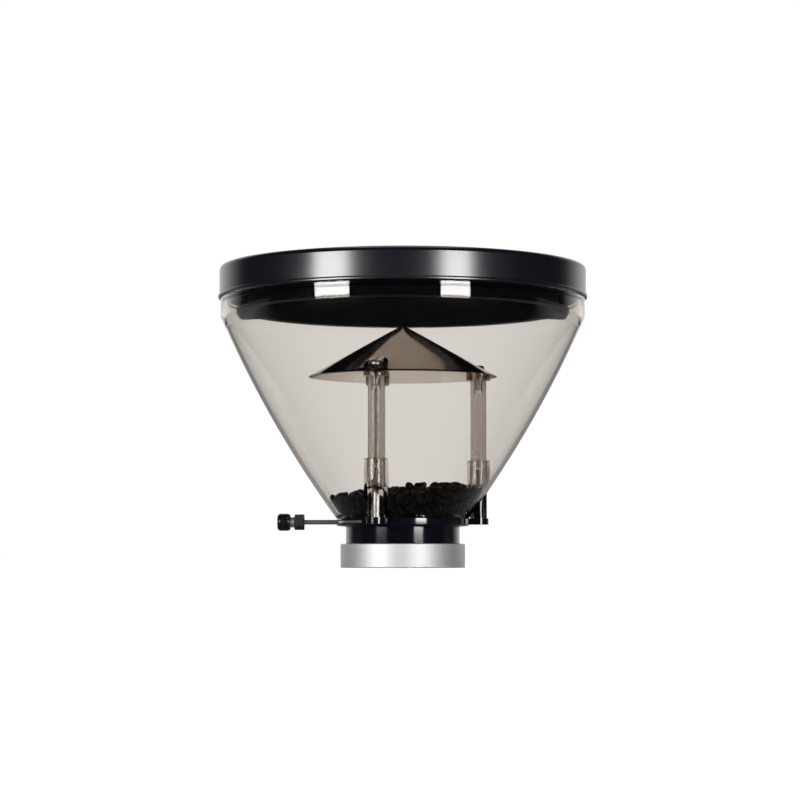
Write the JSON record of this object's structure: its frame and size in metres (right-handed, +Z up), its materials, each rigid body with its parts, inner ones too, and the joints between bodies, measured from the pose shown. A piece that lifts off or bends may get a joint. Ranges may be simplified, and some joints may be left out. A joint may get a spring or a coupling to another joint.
{
  "type": "coffee grinder bean hopper",
  "caption": "Smoked conical bean hopper with a black lift-off lid, a roofed finger guard inside, a slide gate pulled by a side knob, and a polished collar that drops into a grinder.",
  "frame": {"origin": "centre of the collar's lower face, on which the hopper stands", "axes": "+Z up along the hopper's axis, the gate pulls out along -X, and -Y faces the viewer of the picture"},
  "size_m": [0.2416, 0.2416, 0.1965],
  "materials": {
    "smoked_plastic": "clear, smoked, polished",
    "black_plastic": "glossy",
    "polished_collar": "polished",
    "gate_steel": "brushed",
    "dark_steel": "blackened",
    "roasted_bean": "dark roast, slightly oily"
  },
  "bodies": {
    "hopper": {"hopper_shell": "smoked_plastic", "guard_roof": "smoked_plastic", "guard_post_right": "smoked_plastic", "guard_post_rear": "smoked_plastic", "guard_post_front": "smoked_plastic", "roof_screws": "gate_steel", "base_screws": "gate_steel", "gate_housing": "black_plastic", "throat_collar": "polished_collar", "roasted_beans": "roasted_bean"},
    "lid": {"lid": "black_plastic"},
    "gate": {"gate_plate": "gate_steel", "gate_stop_rivet": "gate_steel", "gate_rod": "gate_steel", "knob_lock_nut": "dark_steel", "knob_washer": "gate_steel", "gate_knob": "black_plastic"}
  },
  "joints": [
    {"name": "lid_lift", "type": "slide", "parent": "hopper", "child": "lid", "axis": [0, 0, 1], "range_m": [0, 0.15]},
    {"name": "gate_slide", "type": "slide", "parent": "hopper", "child": "gate", "axis": [-1, 0, 0], "range_m": [0, 0.0585]}
  ]
}
